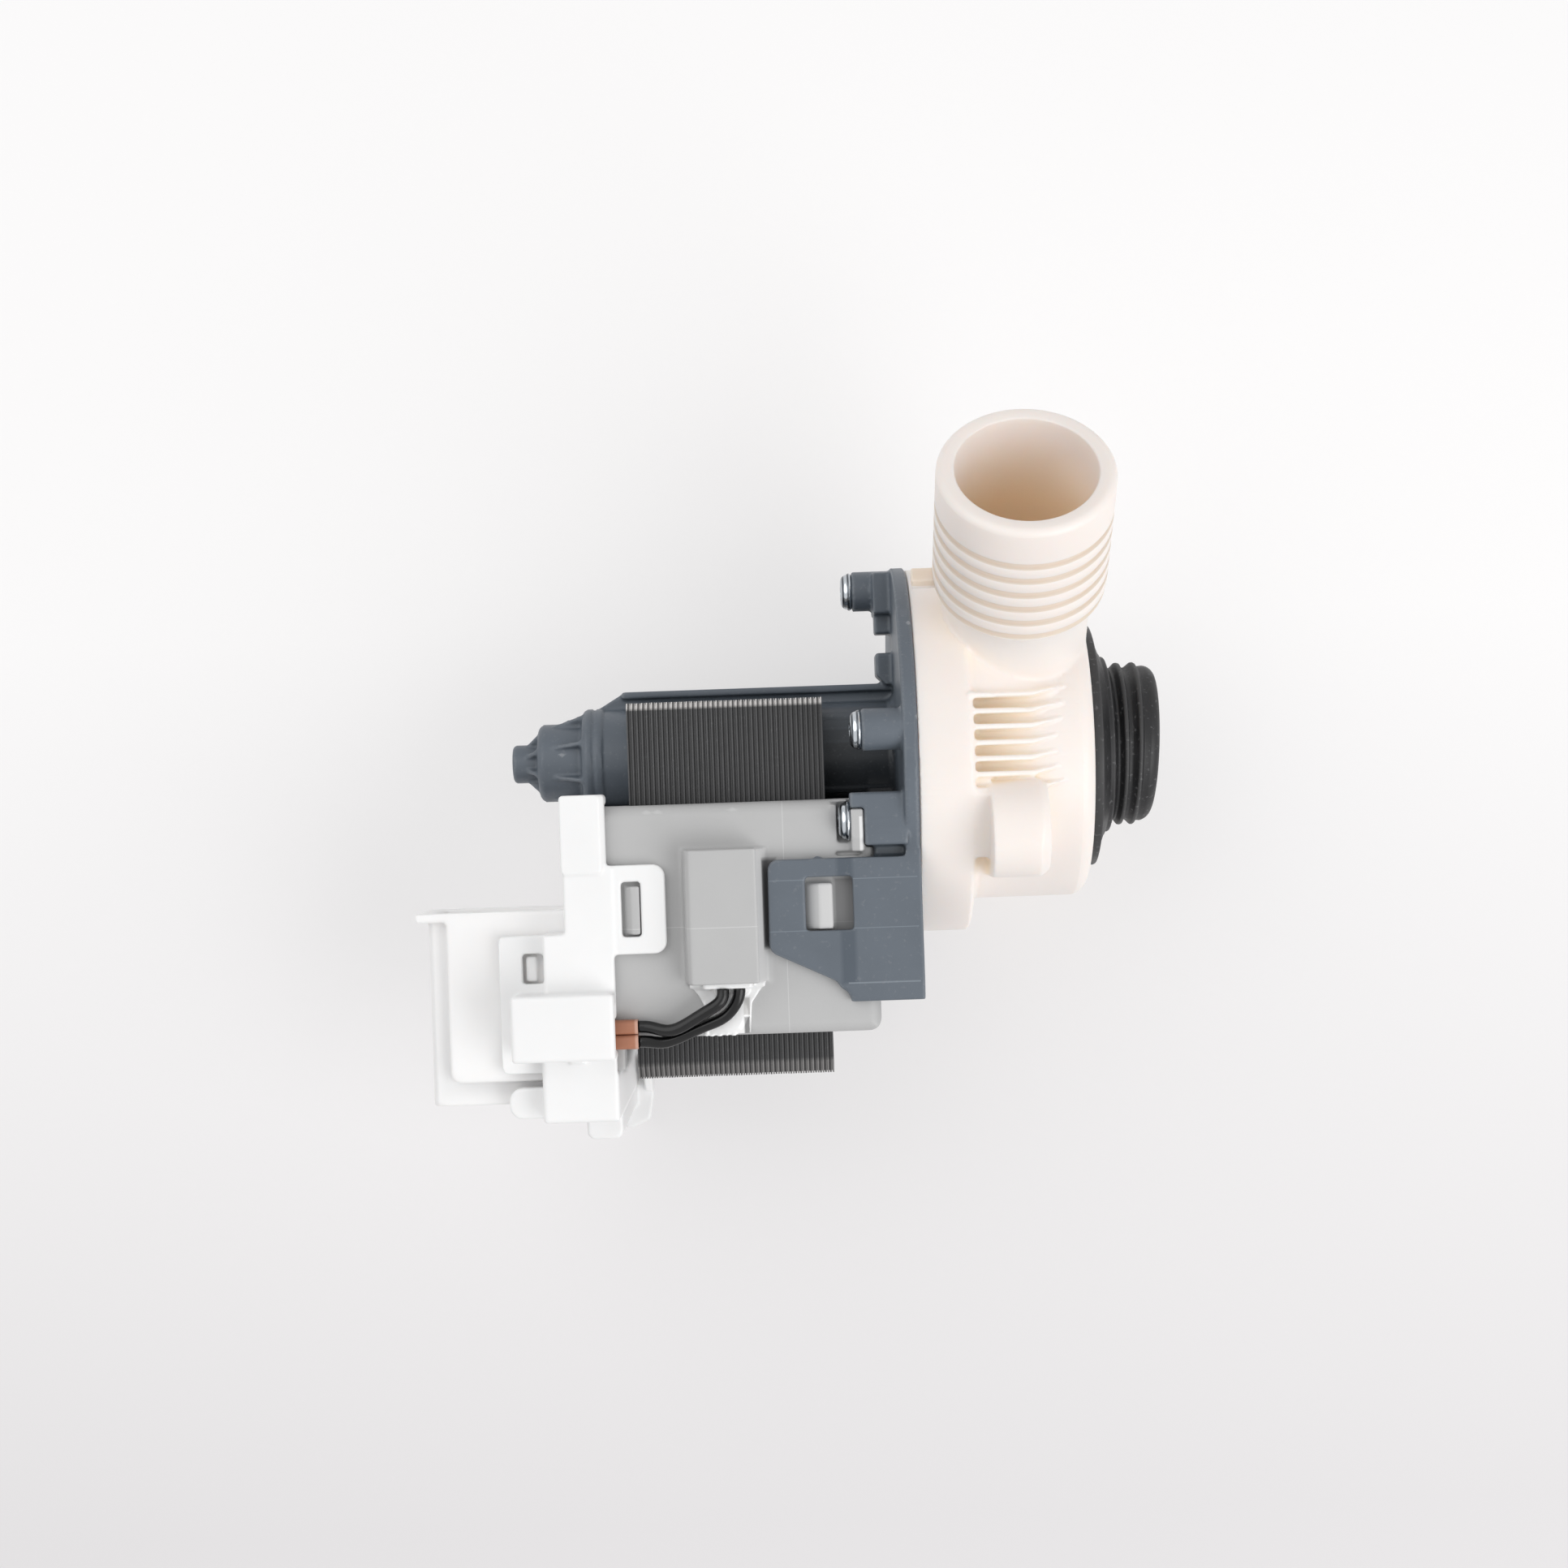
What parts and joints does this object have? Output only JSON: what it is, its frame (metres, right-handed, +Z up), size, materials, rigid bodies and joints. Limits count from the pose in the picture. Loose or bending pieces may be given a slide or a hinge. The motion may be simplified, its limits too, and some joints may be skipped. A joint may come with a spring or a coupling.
{
  "type": "appliance drain pump",
  "caption": "Washing machine drain pump: ivory casing with slanted hose spigot, rubber inlet seal, laminated U-core motor and clip-on plug housing.",
  "frame": {"origin": "centre of the inlet mouth, on the motor axis", "axes": "+X out of the inlet along the motor axis, +Z up from the surface the pump lies on, +Y towards the side that the outlet spigot leans to"},
  "size_m": [0.1518, 0.1445, 0.1032],
  "materials": {
    "ivory_polypropylene": "moulded polypropylene, satin",
    "seal_rubber": "moulded EPDM rubber, matte",
    "zinc_steel": "bright zinc plate",
    "slate_polypropylene": "moulded filled polypropylene, satin",
    "sheet_steel": "stacked varnished electrical sheet",
    "grey_polyester": "moulded polyester, fine matte grain",
    "natural_nylon": "moulded nylon",
    "enamelled_copper": "enamelled copper wire",
    "cutout_metal": "pressed metal case",
    "white_resin": "cast resin, glossy",
    "lead_insulation": "extruded insulation, glossy",
    "terracotta_sleeve": "extruded sleeve, matte",
    "white_nylon": "moulded nylon, satin",
    "shroud_nylon": "moulded nylon, satin",
    "tinned_brass": "tin plated brass",
    "sintered_bronze": "sintered bronze",
    "ground_steel": "ground stainless steel",
    "ferrite": "sintered ferrite",
    "impeller_plastic": "moulded polypropylene, satin"
  },
  "bodies": {
    "pump_body": {"volute_casing": "ivory_polypropylene", "inlet_seal": "seal_rubber", "casing_o_ring": "seal_rubber", "casing_screws": "zinc_steel", "motor_housing": "slate_polypropylene", "stator_core": "sheet_steel", "coil_cover": "grey_polyester", "upper_bobbin": "natural_nylon", "lower_bobbin": "natural_nylon", "upper_winding": "enamelled_copper", "lower_winding": "enamelled_copper", "thermal_cutout": "cutout_metal", "potting_resin": "white_resin", "lead_wire_upper": "lead_insulation", "lead_wire_lower": "lead_insulation", "lead_sleeves": "terracotta_sleeve", "connector_housing": "white_nylon", "connector_shroud": "shroud_nylon", "terminal_blades": "tinned_brass", "shaft_seal": "seal_rubber", "front_bearing": "sintered_bronze", "rear_bearing": "sintered_bronze", "front_grommet": "seal_rubber", "rear_grommet": "seal_rubber"},
    "rotor": {"rotor_shaft": "ground_steel", "rotor_magnet": "ferrite", "magnet_carrier": "natural_nylon", "thrust_washer": "natural_nylon", "drive_dog": "natural_nylon", "dog_damper": "seal_rubber"},
    "impeller": {"impeller": "impeller_plastic"}
  },
  "joints": [
    {"name": "rotor_spin", "type": "hinge", "parent": "pump_body", "child": "rotor", "pos_m": [-0.08885, 0, 0], "axis": [1, 0, 0], "continuous": true},
    {"name": "impeller_play", "type": "hinge", "parent": "rotor", "child": "impeller", "pos_m": [-0.0367, 0, 0], "axis": [1, 0, 0], "range_deg": [-157, 0]}
  ]
}
